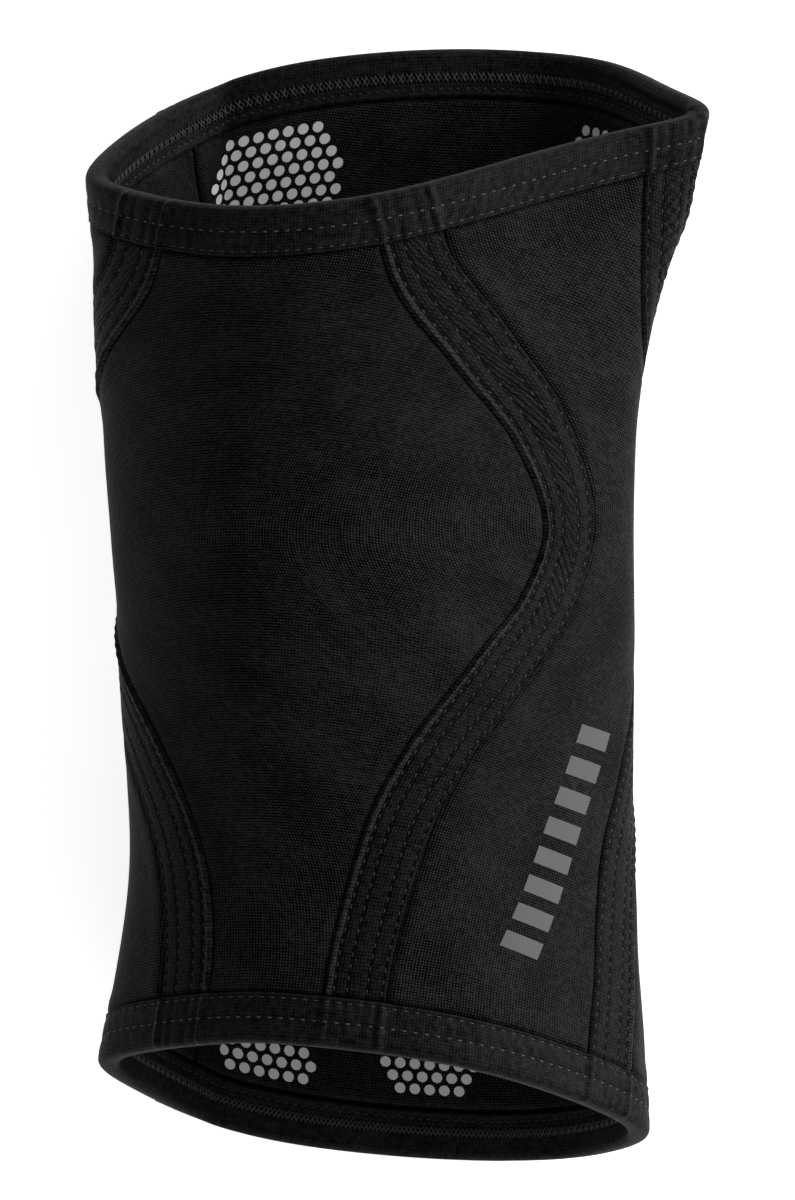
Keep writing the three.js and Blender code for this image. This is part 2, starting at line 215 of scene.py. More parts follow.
def lay(around, along, depth):
    """Points in metres at a depth below the outer surface. What stands proud is pressed flush on the floor."""
    around, along, depth = np.broadcast_arrays(np.asarray(around, float), along, depth)
    point, _ = surface_at(around, along)
    pressed = 1 - smooth(PRESSED_BELOW, PRESSED_UNTIL, point[:, 2])
    depth = np.where(depth < 0, depth * (1 - pressed), depth)
    point = point - normal_at(around, along) * depth[:, None]
    point[:, 2] = np.maximum(point[:, 2], 0.02)
    return (point - OUTLINE_MIDDLE) * MM


def from_calf(around, length):
    """The place along the sleeve that is a length in millimetres from the calf rim."""
    along = length / (LONG_WALL - CALF_SLANT)
    for _ in range(3):
        along = length / surface_at(around, along)[1]
    return along


def from_thigh(around, length):
    along = 1 - length / (LONG_WALL - CALF_SLANT)
    for _ in range(3):
        along = 1 - length / surface_at(around, along)[1]
    return along


# Each seam is measured from a wall's centre line, to one side of it
SEAMS = {
    "upper_left_back": (0, -1, "upper"),
    "upper_right": (0, 1, "upper"),
    "lower_right": (0.5, -1, "lower"),
    "lower_left": (0.5, 1, "lower"),
    "upper_left": (1, -1, "upper"),
}


def seam_at(seam, along):
    """Where a seam runs, and the step round the sleeve that is one millimetre square to it."""
    start, side, column = SEAMS[seam]
    perimeter = perimeter_at(along)
    later, earlier = np.minimum(along + SLOPE_ALONG, 1), np.maximum(along - SLOPE_ALONG, 0)
    way = column_at(SEAM_ROWS, column, later) - column_at(SEAM_ROWS, column, earlier)
    drift = side * way / 2 * perimeter / ((later - earlier) * (LONG_WALL - CALF_SLANT))
    return start + side * column_at(SEAM_ROWS, column, along) / 2, np.hypot(1, drift) / perimeter


def beside(seam, distance, along):
    around, millimetre = seam_at(seam, along)
    return around + distance * millimetre


def seam_distance(around, along):
    """How far a place is from the nearest seam, in millimetres."""
    nearest = np.full(np.shape(around), 1e3)
    for seam in SEAMS:
        at, millimetre = seam_at(seam, along)
        off = (np.mod(around - at + 0.5, 1) - 0.5) / millimetre
        nearest = np.where(np.abs(off) < np.abs(nearest), off, nearest)
    return nearest


# Small tools


def linear(colour):
    """A hex colour as the linear one that the shaders take."""
    parts = [int(colour[i : i + 2], 16) / 255 for i in (1, 3, 5)]
    return [p / 12.92 if p <= 0.04045 else ((p + 0.055) / 1.055) ** 2.4 for p in parts] + [1.0]


def add_node(tree, kind, sockets=(), **settings):
    """Adds a node, makes its settings, and fills its sockets with numbers or other nodes' outputs."""
    made = tree.nodes.new(kind)
    for name, value in settings.items():
        setattr(made, name, value)
    for name, value in dict(sockets).items():
        if isinstance(value, bpy.types.NodeSocket):
            tree.links.new(value, made.inputs[name])
        else:
            made.inputs[name].default_value = value
    return made


def dress(piece, material, slot, *nodes):
    """Gives a piece its material and body, and hides the model's nodes that it stands for. slot is not used."""
    piece.data.materials.append(material)
    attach(piece, "root")
    if nodes:
        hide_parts(*nodes)
    return piece


def show(name, bm, flat=False):
    """Puts a bmesh in the scene as an object at the origin, shaded smooth unless it is flat."""
    mesh = bpy.data.meshes.new(name)
    bm.to_mesh(mesh)
    bm.free()
    if flat:
        mesh.shade_flat()
    else:
        mesh.shade_smooth()
    piece = bpy.data.objects.new(name, mesh)
    bpy.context.scene.collection.objects.link(piece)
    return piece


def cloth(name, columns, rows, place, closed=False):
    """A sheet with a face and a back. It starts as a flat grid, and place(u, v) lays both sides: it gives
    the face's points, the back's points and the cloth's own map in metres."""
    bm = bmesh.new()
    maps = bm.loops.layers.uv.new("cloth")
    bmesh.ops.create_grid(bm, x_segments=columns, y_segments=rows, size=0.5)
    face_count = len(bm.verts)
    bmesh.ops.solidify(bm, geom=bm.faces[:], thickness=0.01)
    share = np.array([v.co[:2] for v in bm.verts]) + 0.5
    face, back, cloth_map = place(share[:, 0], share[:, 1])
    laid = np.where((np.arange(len(share)) < face_count)[:, None], face, back)
    for vert, point in zip(bm.verts, laid.tolist()):
        vert.co = point
    bm.verts.index_update()
    cloth_map = cloth_map.tolist()
    for polygon in bm.faces:
        for loop in polygon.loops:
            loop[maps].uv = cloth_map[loop.vert.index]
    if closed:
        rims = [f for f in bm.faces if all(u in (0, 1) for u in share[[v.index for v in f.verts], 0].round(6))]
        bmesh.ops.delete(bm, geom=rims, context="FACES_ONLY")
        bmesh.ops.remove_doubles(bm, verts=bm.verts, dist=1e-7)
    bmesh.ops.recalc_face_normals(bm, faces=bm.faces)
    return show(name, bm)


def wave(value, length, phase=0.0):
    return np.sin(2 * math.pi * value / length + phase)


# Materials

# Distances of a tape's stitch rows from its middle line, counted away from its piped edge
TAPE_STITCH_ROWS = (-5.4, -2.2, 2.7, 6.4)
PIPING_FROM_EDGE = 0.95
PUCKER_STEP = 2.5
# How far a pucker falls towards the calf for each step that it takes across the tape
PUCKER_LEAN = 1.15
# The puckers' middle line, and the distances from the calf rim between which they grow strong
PUCKER_MIDDLE = 0.25
PUCKERS_GROW = (110.0, 150.0)


def tape_painted_light(tree, place):
    """Painted light on the tape, as factors: a painted highlight on the rolled piping, and painted shade along
    the pulled-in stitch rows and in the creases of the puckers between the two middle rows. It also gives the
    height of the puckers, from 0 to 1."""
    parts = add_node(tree, "ShaderNodeSeparateXYZ", {0: place})
    across = parts.outputs["X"]
    nearest = None
    for row in TAPE_STITCH_ROWS:
        away = add_node(tree, "ShaderNodeMath", {0: across, 1: row * MM}, operation="SUBTRACT").outputs[0]
        away = add_node(tree, "ShaderNodeMath", {0: away}, operation="ABSOLUTE").outputs[0]
        if nearest is not None:
            away = add_node(tree, "ShaderNodeMath", {0: away, 1: nearest}, operation="MINIMUM").outputs[0]
        nearest = away
    # Painted shade: the cloth is darkened along the stitch rows, where the thread pulls the tape into grooves
    rows = add_node(tree, "ShaderNodeMapRange", {
        "Value": nearest, "From Min": 0.15 * MM, "From Max": 0.75 * MM, "To Min": 0.3, "To Max": 1.0,
    }).outputs["Result"]
    # Painted highlight: the raised rolled piping is lightened up to 2.3 times, as where it catches the light
    inner_edge = -TAPE_WIDTH / 2 + 2 * PIPING_FROM_EDGE
    piping = add_node(tree, "ShaderNodeMapRange", {
        "Value": across, "From Min": (inner_edge + 0.1) * MM, "From Max": (inner_edge - 0.4) * MM,
        "To Min": 1.0, "To Max": 2.3,
    }).outputs["Result"]
    # Painted shade: the creases of the puckers darken the cloth; the same pattern also lifts the relief
    drift = add_node(tree, "ShaderNodeTexNoise", {"Vector": place, "Scale": 95.0, "Detail": 1.0}).outputs["Fac"]
    drift = add_node(tree, "ShaderNodeMath", {0: drift, 1: 11.0}, operation="MULTIPLY").outputs[0]
    turn = 2 * math.pi / (PUCKER_STEP * MM)
    lean = add_node(tree, "ShaderNodeVectorMath", {
        0: place, 1: (PUCKER_LEAN * turn, turn, 0),
    }, operation="DOT_PRODUCT").outputs["Value"]
    crest = add_node(tree, "ShaderNodeMath", {0: lean, 1: drift}, operation="ADD").outputs[0]
    crest = add_node(tree, "ShaderNodeMath", {0: crest}, operation="SINE").outputs[0]
    crest = add_node(tree, "ShaderNodeMapRange", {
        "Value": crest, "From Min": -0.95, "From Max": 0.3,
    }).outputs["Result"]
    off_middle = add_node(tree, "ShaderNodeMath", {
        0: across, 1: PUCKER_MIDDLE * MM,
    }, operation="SUBTRACT").outputs[0]
    off_middle = add_node(tree, "ShaderNodeMath", {0: off_middle}, operation="ABSOLUTE").outputs[0]
    middle = add_node(tree, "ShaderNodeMapRange", {
        "Value": off_middle, "From Min": 1.9 * MM, "From Max": 2.6 * MM, "To Min": 1.0, "To Max": 0.0,
    }).outputs["Result"]
    patch = add_node(tree, "ShaderNodeTexNoise", {"Vector": place, "Scale": 22.0, "Detail": 0.0}).outputs["Fac"]
    patch = add_node(tree, "ShaderNodeMapRange", {
        "Value": patch, "From Min": 0.4, "From Max": 0.55, "To Min": 0.25, "To Max": 1.0,
    }).outputs["Result"]
    upper = add_node(tree, "ShaderNodeMapRange", {
        "Value": parts.outputs["Y"], "From Min": PUCKERS_GROW[0] * MM,
        "From Max": PUCKERS_GROW[1] * MM, "To Min": 0.12, "To Max": 1.0,
    }).outputs["Result"]
    shown = add_node(tree, "ShaderNodeMath", {0: middle, 1: patch}, operation="MULTIPLY").outputs[0]
    shown = add_node(tree, "ShaderNodeMath", {0: shown, 1: upper}, operation="MULTIPLY").outputs[0]
    folds = add_node(tree, "ShaderNodeMix", {"Factor": shown, "A": 0.75, "B": crest}).outputs["Result"]
    # The painted shade and the painted highlight are multiplied together into one factor for the tape's colour
    painted_shade_and_highlight = add_node(tree, "ShaderNodeMath", {0: folds, 1: 0.85, 2: 0.3}, operation="MULTIPLY_ADD").outputs[0]
    painted_shade_and_highlight = add_node(tree, "ShaderNodeMath", {0: painted_shade_and_highlight, 1: rows}, operation="MULTIPLY").outputs[0]
    painted_shade_and_highlight = add_node(tree, "ShaderNodeMath", {0: painted_shade_and_highlight, 1: piping}, operation="MULTIPLY").outputs[0]
    return painted_shade_and_highlight, folds


def knit_material(name, dark, light, roughness, gloss, wale, course, relief, fleck, painted_light_of=None):
    """A knitted fabric whose stitches stand in columns, the wales, and rows, the courses, both in metres.
    The last argument, if given, multiplies a piece's painted highlight and shade into its colour and adds its
    folds to the relief."""
    material = bpy.data.materials.new(name)
    material.use_nodes = True
    tree = material.node_tree
    shader = tree.nodes["Principled BSDF"]
    place = add_node(tree, "ShaderNodeUVMap", uv_map="cloth").outputs["UV"]
    wave_period = math.pi / 10
    wales = add_node(tree, "ShaderNodeTexWave", {
        "Vector": place, "Scale": wave_period / wale, "Distortion": 1.5, "Detail": 1.0, "Detail Scale": 1.5,
    }, bands_direction="X").outputs["Fac"]
    courses = add_node(tree, "ShaderNodeTexWave", {
        "Vector": place, "Scale": wave_period / course, "Distortion": 1.8, "Detail": 1.0, "Detail Scale": 1.5,
    }, bands_direction="Y").outputs["Fac"]
    loops = add_node(tree, "ShaderNodeMath", {0: wales, 1: courses}, operation="MULTIPLY").outputs[0]
    yarn = add_node(tree, "ShaderNodeTexNoise", {
        "Vector": place, "Scale": 0.5 / wale, "Detail": 2.0, "Roughness": 0.7,
    }).outputs["Fac"]
    mottle = add_node(tree, "ShaderNodeTexNoise", {
        "Vector": place, "Scale": 60.0, "Detail": 3.0, "Roughness": 0.6,
    }).outputs["Fac"]
    uneven = add_node(tree, "ShaderNodeMix", {"Factor": fleck, "A": loops, "B": yarn}).outputs["Result"]
    worn = add_node(tree, "ShaderNodeMix", {"Factor": 0.25, "A": uneven, "B": mottle}).outputs["Result"]
    ramp = add_node(tree, "ShaderNodeMapRange", {
        "Value": worn, "From Min": 0.3, "From Max": 0.72, "To Min": 0.0, "To Max": 1.0,
    }).outputs["Result"]
    colour = add_node(tree, "ShaderNodeMix", {
        "Factor": ramp, 6: linear(dark), 7: linear(light),
    }, data_type="RGBA").outputs[2]
    height = uneven
    # Painted highlight and shade from the piece's own function are multiplied into the colour here
    if painted_light_of:
        painted_shade_and_highlight, folds = painted_light_of(tree, place)
        colour = add_node(tree, "ShaderNodeMix", {
            "Factor": 1.0, 6: colour, 7: painted_shade_and_highlight,
        }, data_type="RGBA", blend_type="MULTIPLY").outputs[2]
        height = add_node(tree, "ShaderNodeMath", {
            0: folds, 1: 1.6, 2: uneven,
        }, operation="MULTIPLY_ADD").outputs[0]
    bump = add_node(tree, "ShaderNodeBump", {"Height": height, "Strength": 1.0, "Distance": relief})
    tree.links.new(colour, shader.inputs["Base Color"])
    tree.links.new(bump.outputs["Normal"], shader.inputs["Normal"])
    shader.inputs["Roughness"].default_value = roughness
    shader.inputs["Specular IOR Level"].default_value = gloss
    return material


def plain_material(name, colour, roughness, specular):
    material = bpy.data.materials.new(name)
    material.use_nodes = True
    shader = material.node_tree.nodes["Principled BSDF"]
    shader.inputs["Base Color"].default_value = linear(colour)
    shader.inputs["Roughness"].default_value = roughness
    shader.inputs["Specular IOR Level"].default_value = specular
    return material


# Neoprene foam faced with nylon jersey. Real wales are about 0.6 mm wide, a little too fine for the picture,
# so they are drawn a quarter coarser. It gives a black cloth grained with small light loops.
jersey = knit_material(
    "nylon_jersey_on_neoprene", "#000000", "#353536", 0.55, 0.03, 0.00078, 0.0007, 0.00026, 0.5
)
# Woven elastic tape with fine ribs, drawn a quarter coarser too. It gives a matt, darker band with small
# puckers, a painted highlight on its
# # rolled edge, and painted shade along its stitch rows and in the puckers' creases.
tape_rib = knit_material(
    "ribbed_elastic_tape", "#010101", "#2b2b2c", 0.55, 0.035, 0.0008, 0.0009, 0.00026, 0.65, tape_painted_light
)
# Brushed stretch binding. It gives a soft, even edge with a faint grain.
binding_knit = knit_material(
    "brushed_stretch_binding", "#010101", "#2c2c2d", 0.55, 0.03, 0.0008, 0.0008, 0.00022, 0.75
)
# Polyester sewing thread, with a slight lustre that picks the stitches out of the cloth
dark_thread = plain_material("black_polyester_thread", "#2c2c2d", 0.5, 0.2)
light_thread = plain_material("grey_polyester_thread", "#464647", 0.5, 0.2)
# Screen printing ink, flat and dense on the knit
grey_ink = plain_material("grey_screen_print", "#4c4c4e", 0.55, 0.2)
white_ink = plain_material("white_screen_print", "#d2d2d4", 0.6, 0.2)


# The panels

EDGE_ZONE = 14.0
EDGE_COLUMNS = 0.22
CROWDING = 0.09
RIM_START = 1.6
HALF_TAPE = TAPE_WIDTH / 2


def groove(distance, edge):
    """The panel's face beside a tape or a hem: sunk under it, and swelling just past its edge."""
    past = distance - edge
    sunk = 0.85 * (1 - smooth(-0.3, 0.9, past))
    swell = 0.32 * np.exp(-(((past - 2.6) / 2.4) ** 2))
    return sunk, swell


def ease(around, along):
    """The slight unevenness of padded cloth that lies slack."""
    length = along * (LONG_WALL - CALF_SLANT)
    broad = 0.16 * wave(length, 61, 1.3) * wave(around, 0.21, 0.4)
    return broad + 0.07 * wave(length + 90 * around, 33, 0.2) * wave(around, 0.083, 1.1)


def panel_face(seam_way, rim_way, around, along):
    seam_sunk, seam_swell = groove(seam_way, HALF_TAPE)
    hem_sunk, hem_swell = groove(rim_way, HEM_HEIGHT)
    swell = (seam_swell + hem_swell) * smooth(0, 1.2, np.minimum(seam_way - HALF_TAPE, rim_way - HEM_HEIGHT))
    return np.maximum(seam_sunk, hem_sunk) - swell + ease(around, along)


def panel(first, second, name, node, columns, rows):
    def place(u, v):
        # The lines and stations crowd together at the seams and the hems, where the relief is finest
        v = v - CROWDING * np.sin(2 * math.pi * v)
        calf = from_calf(np.full_like(v, SEAMS[first][0] + 0.01), RIM_START)
        along = calf + v * (1 - 2 * calf)
        a_start, a_step = seam_at(first, along)
        b_start, b_step = seam_at(second, along)
        a_step, b_step = np.abs(a_step), np.abs(b_step)
        distance = GAP / 2 + (EDGE_ZONE - GAP / 2) * np.minimum(u, 1 - u) / EDGE_COLUMNS
        middle = (u - EDGE_COLUMNS) / (1 - 2 * EDGE_COLUMNS)
        a_inner = a_start + EDGE_ZONE * a_step
        b_inner = b_start - EDGE_ZONE * b_step
        around = np.where(
            u < EDGE_COLUMNS,
            a_start + distance * a_step,
            np.where(u > 1 - EDGE_COLUMNS, b_start - distance * b_step, a_inner + (b_inner - a_inner) * middle),
        )
        _, wall = surface_at(around, along)
        rim_way = np.minimum(along, 1 - along) * wall
        seam_way = np.minimum((around - a_start) / a_step, (b_start - around) / b_step)
        face = panel_face(seam_way, rim_way, around, along)
        under_hem = 1 - smooth(HEM_HEIGHT, HEM_HEIGHT + 1.5, rim_way)
        back = WALL - 1.1 * under_hem - 0.9 * np.exp(-((seam_way / 0.9) ** 2)) * (1 - under_hem)
        perimeter = perimeter_at(along)
        cloth_map = np.column_stack([(around - a_start) * perimeter, along * wall]) * MM
        return lay(around, along, face), lay(around, along, back), cloth_map

    piece = cloth(name, columns, rows, place)
    dress(piece, jersey, "neoprene_panel", node)
    return piece


panel("upper_left_back", "upper_right", "centre_panel_padding", "center_panel", 110, 230)
panel("upper_right", "lower_right", "right_panel_padding", "right_side_panel", 72, 230)
panel("lower_right", "lower_left", "back_panel_padding", "back_panel", 96, 230)
panel("lower_left", "upper_left", "left_panel_padding", "left_side_panel", 72, 230)


# The tapes

TAPE_STITCH_STEP = 2.9


def tape_relief(distance, length, fade, piping):
    """How far a tape's face stands above its flat level: piping along one edge, rows of stitching pulled
    in, and puckers across the middle."""
    from_piping = -piping * distance
    rise = 0.0
    for row in TAPE_STITCH_ROWS:
        pull = 0.75 + 0.25 * wave(length, TAPE_STITCH_STEP)
        rise = rise - 0.42 * pull * np.exp(-(((from_piping - row) / 0.5) ** 2))
    middle = np.exp(-(((from_piping - PUCKER_MIDDLE) / 1.9) ** 4))
    lean = length + 0.55 * distance
    strength = (0.55 + 0.45 * wave(length, 71, 0.6)) * (0.2 + 0.8 * smooth(*PUCKERS_GROW, length))
    puckers = wave(lean, 3.3) * (0.7 + 0.3 * wave(length, 11.7)) + 0.35 * wave(lean, 1.9, 1.0)
    rise = rise + 0.28 * middle * puckers * strength
    piped = np.exp(-(((from_piping + HALF_TAPE - PIPING_FROM_EDGE) / 0.62) ** 4))
    rise = rise + (0.5 + 0.12 * wave(length, TAPE_STITCH_STEP, 1.5)) * piped
    return rise * fade


def tape_face(distance, length, piping, fade=1.0):
    round_off = smooth(HALF_TAPE - 0.5, HALF_TAPE, np.abs(distance))
    return -TAPE_PROUD - tape_relief(distance, length, fade, piping) + 0.85 * round_off**2


# Which edge of each tape is rolled higher: the one beside the centre panel or the back panel
PIPING = {"upper_right": -1, "lower_right": 1, "lower_left": -1, "upper_left": 1}


def tape(seam, name, node, columns=34, rows=380):
    def place(u, v):
        distance = (u - 0.5) * TAPE_WIDTH
        near = beside(seam, 0, v)
        calf, thigh = from_calf(near, RIM_START), from_thigh(near, RIM_START)
        along = calf + v * (thigh - calf)
        around = beside(seam, distance, along)
        _, wall = surface_at(around, along)
        length = along * wall
        rim_way = np.minimum(length, wall - length)
        under_hem = 1 - smooth(HEM_HEIGHT - 0.5, HEM_HEIGHT + 1.2, rim_way)
        face = tape_face(distance, length, PIPING[seam], 1 - 0.6 * under_hem)
        face = face * (1 - under_hem) + 0.35 * under_hem
        back = np.maximum(face + 0.25, TAPE_THICK - TAPE_PROUD - 0.05 + 0.75 * under_hem)
        cloth_map = np.column_stack([-PIPING[seam] * distance, length]) * MM
        return lay(around, along, face), lay(around, along, back), cloth_map

    piece = cloth(name, columns, rows, place)
    dress(piece, tape_rib, "seam_tape", node)
    centre = lay(beside(seam, 0, np.linspace(0, 1, 200)), np.linspace(0, 1, 200), 0.0)
    return piece


tape("upper_right", "upper_right_elastic", "upper_right_tape")
tape("lower_right", "lower_right_elastic", "lower_right_tape")
tape("lower_left", "lower_left_elastic", "lower_left_tape")
tape("upper_left", "upper_left_elastic", "upper_left_tape")


# The hem bindings

HEM_STITCH_ROWS = (6.3, 11.2)
HEM_STITCH_WIDTHS = (0.42, 0.27)
HEM_STITCH_STEP = 2.8
# The fold over the rim: how far it reaches along the wall, the cloth that it takes, and how square it is
FOLD_LENGTH = 2.2
FOLD_WAY = 6.4
FOLD_SQUARE = 2.5
INNER_ZIGZAG = 7.4
ZIGZAG_STEP = 2.3
INNER_ROW = 10.3


def hem_rise(around, along):
    """How far the outer leg of a binding is lifted where a tape passes under it."""
    distance = seam_distance(around, along)
    lifted = 1 - smooth(HALF_TAPE - 0.3, HALF_TAPE + 1.0, np.abs(distance))
    ridges = sum(-0.34 * np.exp(-(((np.abs(distance) - row) / 0.6) ** 2)) for row in (2.4, 5.6))
    edges = 0.45 * np.exp(-(((np.abs(distance) - 6.8) / 0.6) ** 2))
    return lifted * BINDING_RISE + (ridges + edges) * lifted


def outer_leg(around, along, height, way):
    """The depth of a binding's outer face, at a height above the rim and a way round it."""
    stitched = 0.0
    for row in HEM_STITCH_ROWS:
        pull = 0.7 + 0.3 * wave(way, HEM_STITCH_STEP)
        stitched = stitched + 0.22 * pull * np.exp(-(((height - row) / 0.7) ** 2))
    puffed = -0.14 * np.exp(-(((height - 8.8) / 1.8) ** 2)) - 0.12 * np.exp(-(((height - 3.6) / 2.0) ** 2))
    creased = 0.05 * wave(way + 0.3 * height, 3.7, 0.8) * smooth(2, 5, height)
    rolled = -0.12 * np.exp(-(((height - 12.1) / 0.35) ** 2))
    turned = 0.6 * smooth(HEM_HEIGHT - 0.3, HEM_HEIGHT, height) ** 2
    return -BINDING_PROUD + stitched + puffed + creased + rolled + turned - hem_rise(around, along)


def inner_leg(height, way):
    level = WALL + BINDING_INSET
    stitched = -0.35 * np.exp(-(((height - INNER_ZIGZAG) / 1.3) ** 4)) * (0.6 + 0.4 * wave(way, ZIGZAG_STEP))
    row = -0.2 * np.exp(-(((height - INNER_ROW) / 0.6) ** 2))
    turned = -0.6 * smooth(HEM_HEIGHT - 0.4, HEM_HEIGHT, height) ** 2
    return level + stitched + row + turned


def hem(from_rim, name, node, columns=600, rows=64):
    rim = 1.0 if from_rim is from_thigh else 0.0
    perimeter = float(perimeter_at(rim))
    leg = HEM_HEIGHT - FOLD_LENGTH
    total = 2 * leg + FOLD_WAY

    def place(u, v):
        around, way = u, u * perimeter
        s = v * total
        turn = np.clip((s - leg) / FOLD_WAY, 0, 1) * math.pi - math.pi / 2
        bulge = np.abs(np.cos(turn)) ** (2 / FOLD_SQUARE)
        swing = np.sign(np.sin(turn)) * np.abs(np.sin(turn)) ** (2 / FOLD_SQUARE)
        folded = FOLD_LENGTH * (1 - bulge)
        height = np.where(
            s < leg, HEM_HEIGHT - s, np.where(s > leg + FOLD_WAY, s - leg - FOLD_WAY + FOLD_LENGTH, folded)
        )
        along = from_rim(around, height)
        outside = outer_leg(around, along, height, way)
        inside = inner_leg(height, way)
        depth = (outside + inside) / 2 + swing * (inside - outside) / 2
        thick = np.minimum(BINDING_THICK, 0.45 + 0.55 * smooth(0, 1.2, np.minimum(s, total - s)))
        inward = np.where(s < leg, 1, np.where(s > leg + FOLD_WAY, -1, -swing))
        back_height = height + thick * bulge
        back_depth = depth + inward * thick
        face = lay(around, along, depth)
        back = lay(around, from_rim(around, back_height), back_depth)
        return face, back, np.column_stack([way, s]) * MM

    piece = cloth(name, columns, rows, place, closed=True)
    dress(piece, binding_knit, "hem_binding", node)
    return piece


hem(from_thigh, "thigh_binding", "thigh_hem")
hem(from_calf, "calf_binding", "calf_hem")


# The stitching

BATCH = 12
# The stitches under the sleeve are pressed up off the floor by this much, in metres
FLOOR_CLEAR = 0.00002


def sew(name, rows, material):
    """Short stitches of thread. Each row holds the stitches' middles, directions and outward normals, with
    their length and width in millimetres. They are made a few at a time, which is far quicker."""
    joined = bmesh.new()
    for middles, directions, normals, length, width in rows:
        for first in range(0, len(middles), BATCH):
            bm = bmesh.new()
            few = slice(first, first + BATCH)
            for middle, direction, normal in zip(middles[few], directions[few], normals[few]):
                run = Vector(direction).normalized()
                out = Vector(normal)
                out = (out - run * out.dot(run)).normalized()
                turn = Matrix((run, out.cross(run), out)).transposed().to_4x4()
                scale = Matrix.Diagonal((length * MM / 2, width * MM / 2, width * MM / 2, 1))
                bmesh.ops.create_uvsphere(
                    bm, u_segments=6, v_segments=4, radius=1,
                    matrix=Matrix.Translation(middle) @ turn @ scale @ Matrix.Rotation(math.pi / 2, 4, "Y"),
                )
            part = bpy.data.meshes.new(name + "_part")
            bm.to_mesh(part)
            bm.free()
            joined.from_mesh(part)
            bpy.data.meshes.remove(part)
    return dress(show(name, joined), material, "seam_tape")


def stitch_row(around, along, depth, swing, length, width):
    """Stitches at places on the wall. swing turns each one from the row's own direction."""
    middle = lay(around, along, depth)
    middle[:, 2] = np.maximum(middle[:, 2], width * MM / 2 + FLOOR_CLEAR)
    normal = normal_at(around, along)
    run = np.gradient(middle, axis=0)
    run = run / np.linalg.norm(run, axis=1)[:, None]
    side = np.cross(normal, run)
    turned = run * np.cos(swing)[:, None] + side * np.sin(swing)[:, None]
    return middle, turned, normal, length, width


def tape_rows(seam):
    rows = []
    for from_piping in TAPE_STITCH_ROWS:
        row = -PIPING[seam] * from_piping
        wall = surface_at(beside(seam, row, np.full(1, 0.5)), np.full(1, 0.5))[1][0]
        count = int((wall - 4) / TAPE_STITCH_STEP)
        length = 3.0 + np.arange(count) * TAPE_STITCH_STEP
        along = from_calf(beside(seam, row, length / wall), length)
        around = beside(seam, row, along)
        rim_way = np.minimum(along, 1 - along) * surface_at(around, along)[1]
        keep = rim_way > HEM_HEIGHT + 1
        around, along, length = around[keep], along[keep], length[keep]
        depth = tape_face(np.full_like(along, row), length, PIPING[seam]) - 0.06
        rows.append(stitch_row(around, along, depth, np.full_like(along, 0.06), 1.3, 0.48))
    return rows


def hem_rows(from_rim):
    rim = 1.0 if from_rim is from_thigh else 0.0
    perimeter = float(perimeter_at(rim))
    rows = []
    for row, width in zip(HEM_STITCH_ROWS, HEM_STITCH_WIDTHS):
        count = round(perimeter / HEM_STITCH_STEP)
        around = np.arange(count) / count
        along = from_rim(around, row)
        depth = outer_leg(around, along, np.full(count, row), around * perimeter) - 0.1
        rows.append(stitch_row(around, along, depth, np.zeros(count), 1.3, width))
    return rows


def lining_rows(from_rim):
    rim = 1.0 if from_rim is from_thigh else 0.0
    perimeter = float(perimeter_at(rim))
    count = round(perimeter / ZIGZAG_STEP) * 2
    around = np.arange(count) / count
    tilt = np.where(np.arange(count) % 2 == 0, 1.05, -1.05)
    depth = inner_leg(np.full(count, INNER_ZIGZAG), around * perimeter) + 0.12
    along = from_rim(around, INNER_ZIGZAG)
    ways = [stitch_row(around, along, depth, way, 3.3, 0.62) for way in (tilt, -tilt)]
    around = around[::2]
    depth = inner_leg(np.full(count // 2, INNER_ROW), around * perimeter) + 0.12
    row = stitch_row(around, from_rim(around, INNER_ROW), depth, np.zeros(count // 2), 1.3, 0.42)
    return ways + [row]


for seam in ("upper_right", "lower_right", "lower_left", "upper_left"):
    sew(seam + "_stitches", tape_rows(seam), dark_thread)
for rim_name, from_rim in (("thigh", from_thigh), ("calf", from_calf)):
    sew(rim_name + "_hem_stitches", hem_rows(from_rim), light_thread)
    sew(rim_name + "_lining_stitches", lining_rows(from_rim), dark_thread)


# The printed marks

INK_THICK = 0.06
INK_CLEAR = 0.04
BARS, BAR_STEP, BAR_TALL, BAR_WIDE, BAR_SLANT = 8, 8.3, 10.5, 4.8, 0.3
BAR_START, BAR_HEADING = (0.1866, 0.1343), 0.462
DOT_RADIUS, DOT_STEP, DOT_CLEAR = 1.35, 3.7, 2.2
LINING_PATCHES = ((0.6517, 0.89, 18), (0.4084, 0.887, 15.5), (0.5421, 0.108, 15.5), (0.6624, 0.073, 11.5))


def lay_print(bm, place, heading, inside):
    """Lays flat shapes, drawn in millimetres, as a film of ink on the wall's face or on its lining."""
    bmesh.ops.solidify(bm, geom=bm.faces[:], thickness=INK_THICK)
    x, y, z = np.array([v.co for v in bm.verts]).T
    perimeter = float(perimeter_at(place[1]))
    wall = surface_at(np.array([place[0]]), np.array([place[1]]))[1][0]
    around = place[0] + (x * math.cos(heading) + y * math.sin(heading)) / perimeter
    along = place[1] + (y * math.cos(heading) - x * math.sin(heading)) / wall
    height = np.abs(z) + INK_CLEAR
    laid = lay(around, along, WALL + height if inside else ease(around, along) - height)
    for vert, point in zip(bm.verts, laid.tolist()):
        vert.co = point
    bmesh.ops.recalc_face_normals(bm, faces=bm.faces)
    return bm


bm = bmesh.new()
for k in range(BARS):
    shape = Matrix((
        (BAR_TALL, 0, 0, 0),
        (BAR_SLANT * BAR_TALL, BAR_WIDE, 0, (k + 0.5) * BAR_STEP),
        (0, 0, 1, 0),
        (0, 0, 0, 1),
    ))
    bmesh.ops.create_grid(bm, x_segments=14, y_segments=6, size=0.5, matrix=shape)
bars = show("side_print_bars", lay_print(bm, BAR_START, BAR_HEADING, False), flat=True)
dress(bars, grey_ink, "neoprene_panel")

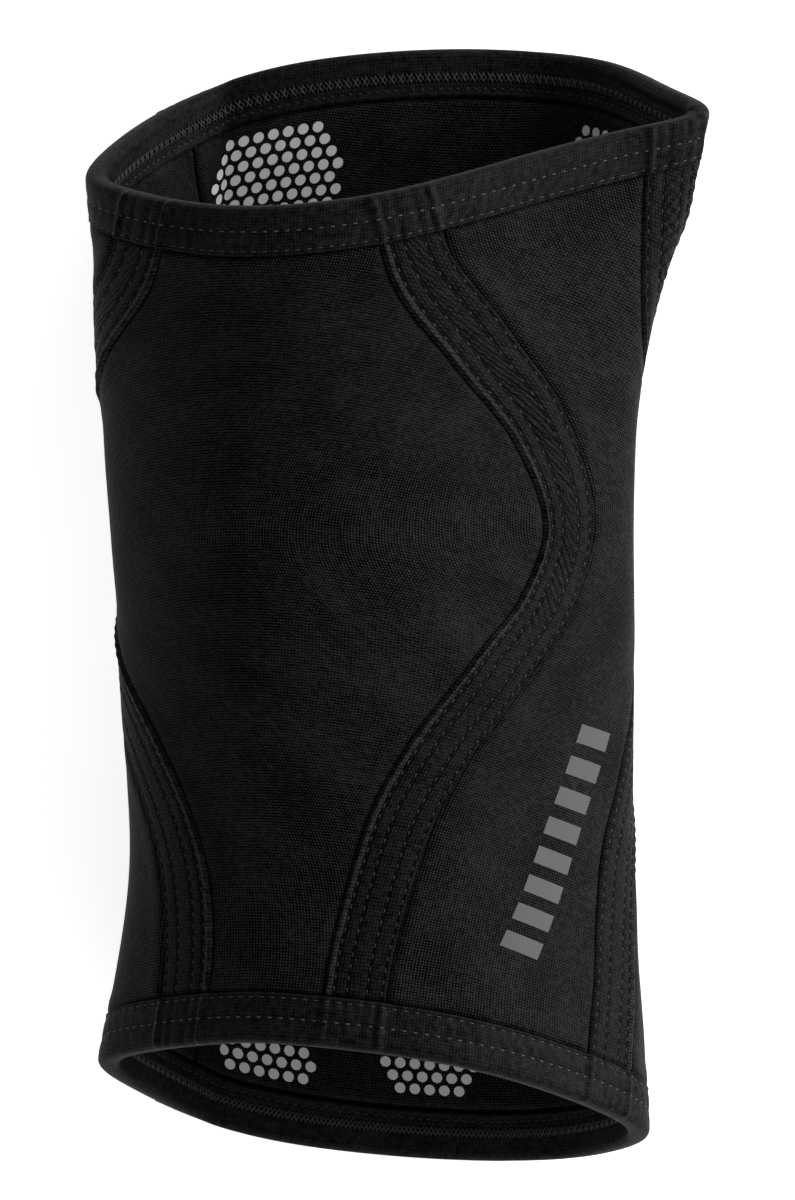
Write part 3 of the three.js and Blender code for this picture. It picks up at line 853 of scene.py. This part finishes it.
for k, (around, along, radius) in enumerate(LINING_PATCHES, 1):
    bm = bmesh.new()
    reach = int(radius / DOT_STEP) + 1
    perimeter = float(perimeter_at(along))
    wall = surface_at(np.array([around]), np.array([along]))[1][0]
    for row in range(-reach, reach + 1):
        for column in range(-reach, reach + 1):
            x, y = (column + 0.5 * (row % 2)) * DOT_STEP, row * DOT_STEP * math.sin(math.pi / 3)
            there = np.array([along + y / wall])
            off_seam = abs(seam_distance(np.array([around + x / perimeter]), there)[0]) > DOT_CLEAR
            off_hem = min(there[0], 1 - there[0]) * wall > HEM_HEIGHT + DOT_CLEAR
            if math.hypot(x, y) <= radius and off_seam and off_hem:
                bmesh.ops.create_circle(
                    bm, cap_ends=True, segments=16, radius=DOT_RADIUS, matrix=Matrix.Translation((x, y, 0))
                )
    dots = show(f"lining_print_dots_{k}", lay_print(bm, (around, along), 0, True), flat=True)
    dress(dots, white_ink, "neoprene_panel")


# Floor, light and camera

bm = bmesh.new()
bmesh.ops.create_grid(bm, x_segments=1, y_segments=1, size=3)
floor = show("floor", bm)
# White translucent acrylic, lit from below as on a light table, so that the shadows on it stay faint
table_top = plain_material("lit_white_acrylic", "#f0f0f0", 0.9, 0.1)
glow = table_top.node_tree.nodes["Principled BSDF"].inputs
glow["Emission Color"].default_value = (1, 1, 1, 1)
glow["Emission Strength"].default_value = 0.8
floor.data.materials.append(table_top)


def soft_light(name, place, width, height, power):
    """A large soft light that faces the sleeve."""
    light = bpy.data.lights.new(name, "AREA")
    light.shape = "RECTANGLE"
    light.size, light.size_y, light.energy = width, height, power
    lamp = bpy.data.objects.new(name, light)
    lamp.location = place
    lamp.rotation_euler = (-Vector(place)).to_track_quat("-Z", "Y").to_euler()
    bpy.context.scene.collection.objects.link(lamp)


soft_light("right_softbox", (1.4, 0.35, 0.42), 1.1, 1.2, 31)
soft_light("left_softbox", (-1.4, 0.2, 0.6), 0.8, 1.2, 2)
soft_light("far_softbox", (0.9, 1.3, 0.6), 1.2, 0.7, 14)
soft_light("near_softbox", (0.1, -1.4, 0.9), 1.2, 0.7, 11)

world = bpy.data.worlds.new("studio")
world.use_nodes = True
world.node_tree.nodes["Background"].inputs["Color"].default_value = (1, 1, 1, 1)
world.node_tree.nodes["Background"].inputs["Strength"].default_value = 0.07
bpy.context.scene.world = world

# The photo looks straight down through a long lens
CAMERA_HEIGHT = 2.5
SENSOR = 36
camera_data = bpy.data.cameras.new("camera")
camera_data.sensor_fit = "VERTICAL"
camera_data.sensor_height = SENSOR
camera_data.sensor_width = SENSOR
# At 2.455 m, the height of the camera above the sleeve's widest line, the frame is 0.3 m tall
camera_data.lens = SENSOR * 2.455 / 0.3
camera = bpy.data.objects.new("camera", camera_data)
camera.location = (0.0001, 0.00125, CAMERA_HEIGHT)
bpy.context.scene.collection.objects.link(camera)
bpy.context.scene.camera = camera
bpy.context.scene.view_settings.view_transform = "Standard"
